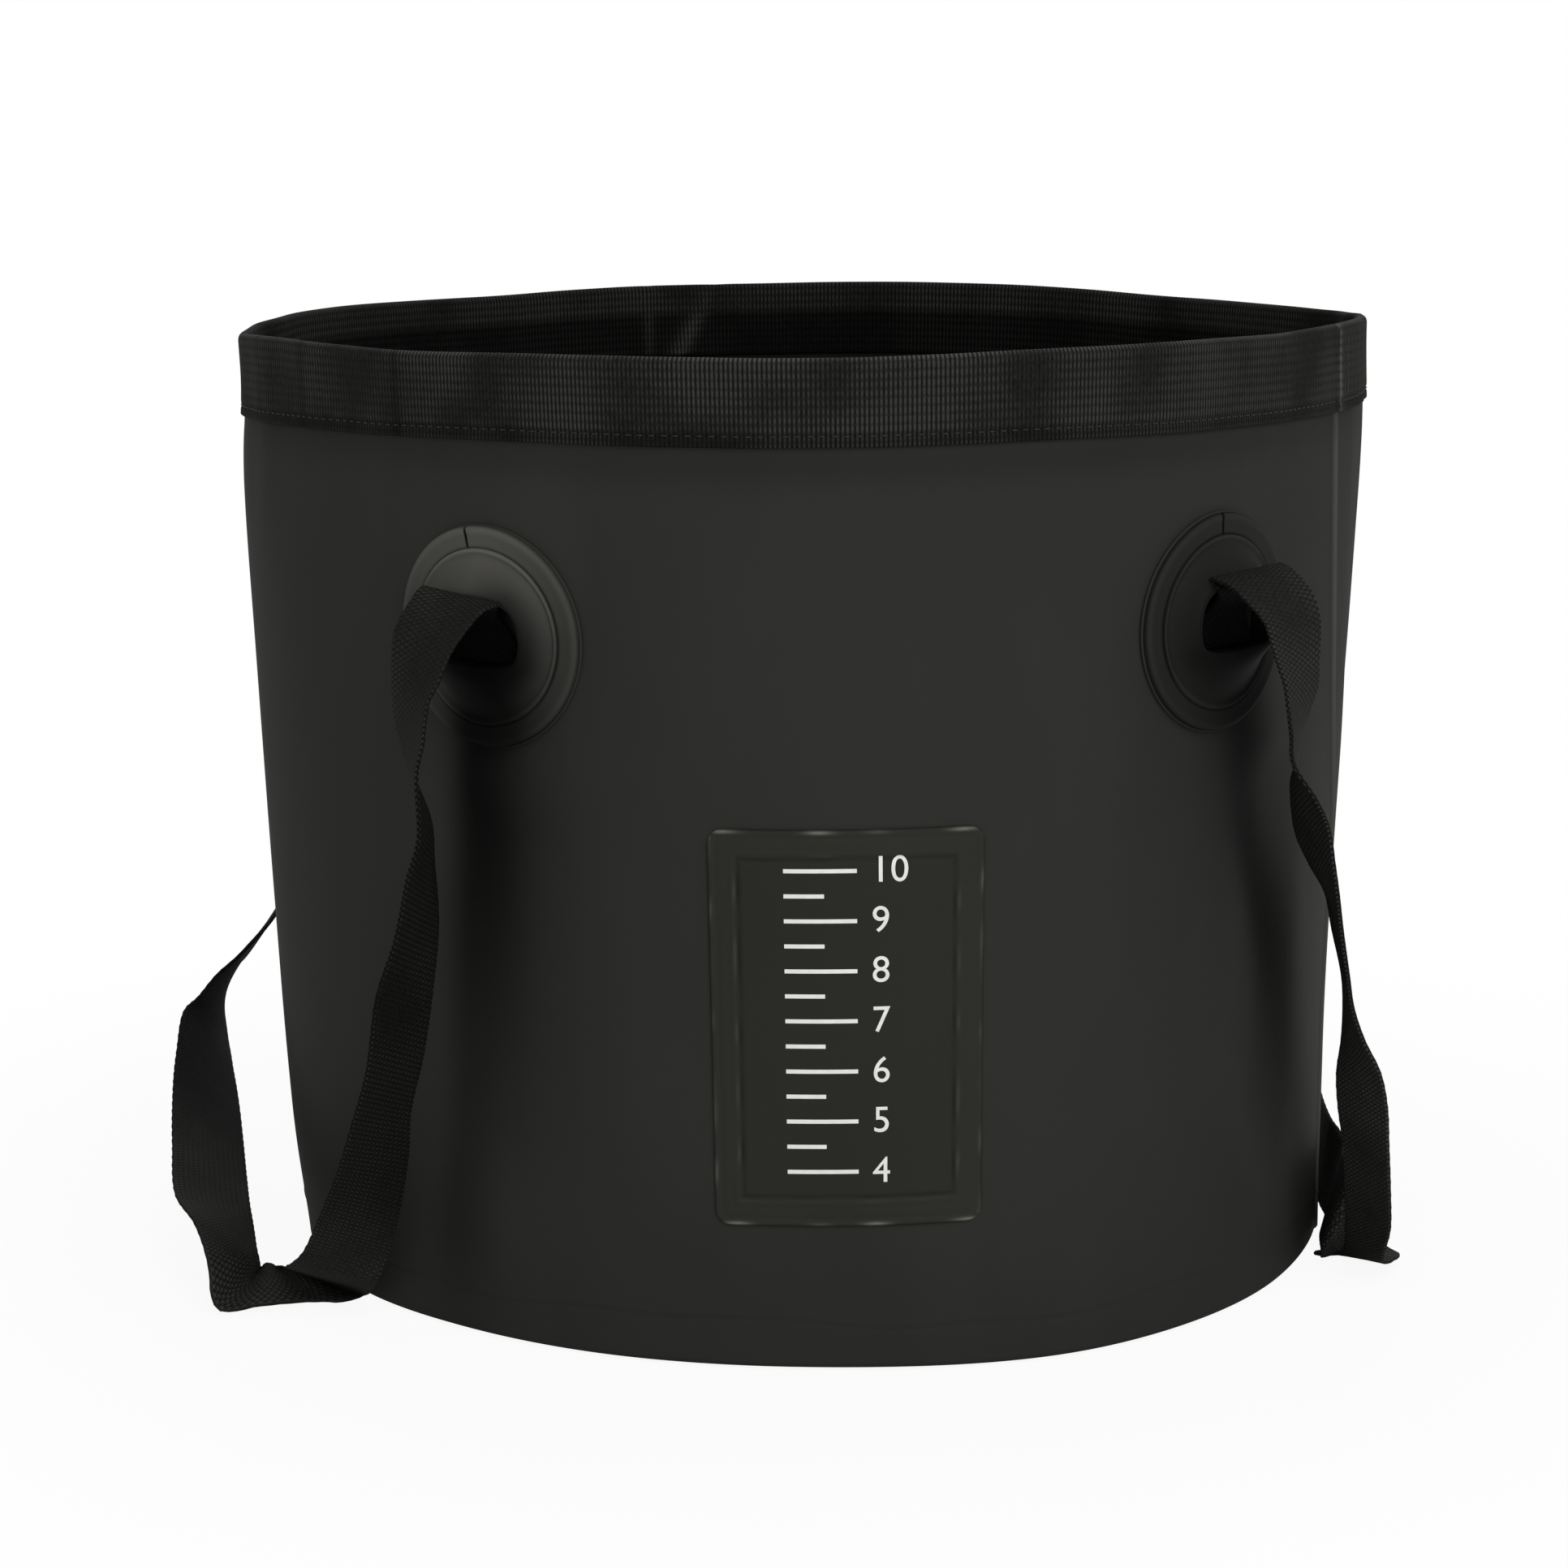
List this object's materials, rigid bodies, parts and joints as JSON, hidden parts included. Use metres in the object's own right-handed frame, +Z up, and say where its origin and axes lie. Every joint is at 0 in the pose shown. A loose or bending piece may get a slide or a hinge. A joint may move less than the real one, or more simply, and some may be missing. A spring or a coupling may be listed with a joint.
{
  "type": "collapsible camp bucket",
  "caption": "Collapsible welded-tarpaulin water bucket with a sewn webbing rim, round hanger patches and webbing loop handles that hang at its sides.",
  "frame": {"origin": "centre of the floor panel's underside, where the bucket stands", "axes": "+Z up through the mouth; X along the long axis of the pinched mouth, from one handle to the other; -Y is the front, with the label patch"},
  "size_m": [0.3714, 0.3057, 0.27],
  "materials": {
    "tarpaulin": "satin coated cloth",
    "label_film": "satin film",
    "hanger_vinyl": "satin moulded",
    "rim_webbing": "woven, matte",
    "strap_webbing": "woven, matte"
  },
  "bodies": {
    "bucket": {"base_panel": "tarpaulin", "wall_panel": "tarpaulin", "label_patch": "label_film"},
    "rim": {"rim_webbing": "rim_webbing"},
    "hangers": {"hanger_disc_front_left": "hanger_vinyl", "hanger_ring_front_left": "hanger_vinyl", "hanger_cap_front_left": "hanger_vinyl", "hanger_tab_front_left": "strap_webbing", "hanger_disc_front_right": "hanger_vinyl", "hanger_ring_front_right": "hanger_vinyl", "hanger_cap_front_right": "hanger_vinyl", "hanger_tab_front_right": "strap_webbing", "hanger_disc_back_right": "hanger_vinyl", "hanger_ring_back_right": "hanger_vinyl", "hanger_cap_back_right": "hanger_vinyl", "hanger_tab_back_right": "strap_webbing", "hanger_disc_back_left": "hanger_vinyl", "hanger_ring_back_left": "hanger_vinyl", "hanger_cap_back_left": "hanger_vinyl", "hanger_tab_back_left": "strap_webbing"},
    "left_loop": {"handle_left": "strap_webbing"},
    "right_loop": {"handle_right": "strap_webbing"}
  },
  "joints": [
    {"name": "collapse", "type": "slide", "parent": "bucket", "child": "rim", "axis": [0, 0, 1], "range_m": [-0.21, 0], "deforming": ["wall_panel", "label_patch"]},
    {"name": "hanger_drop", "type": "slide", "parent": "bucket", "child": "hangers", "axis": [0, 0, 1], "range_m": [-0.16, 0], "deforming": ["hanger_disc_front_left", "hanger_ring_front_left", "hanger_cap_front_left", "hanger_tab_front_left", "hanger_disc_front_right", "hanger_ring_front_right", "hanger_cap_front_right", "hanger_tab_front_right", "hanger_disc_back_right", "hanger_ring_back_right", "hanger_cap_back_right", "hanger_tab_back_right", "hanger_disc_back_left", "hanger_ring_back_left", "hanger_cap_back_left", "hanger_tab_back_left"]},
    {"name": "left_handle_swing", "type": "hinge", "parent": "hangers", "child": "left_loop", "pos_m": [-0.11165, 0, 0.20303], "axis": [0, 1, 0], "range_deg": [0, 175]},
    {"name": "right_handle_swing", "type": "hinge", "parent": "hangers", "child": "right_loop", "pos_m": [0.11165, 0, 0.20303], "axis": [0, -1, 0], "range_deg": [0, 175]}
  ],
  "couplings": [
    {"joint": "hanger_drop", "follows": "collapse", "ratio": 0.76}
  ]
}
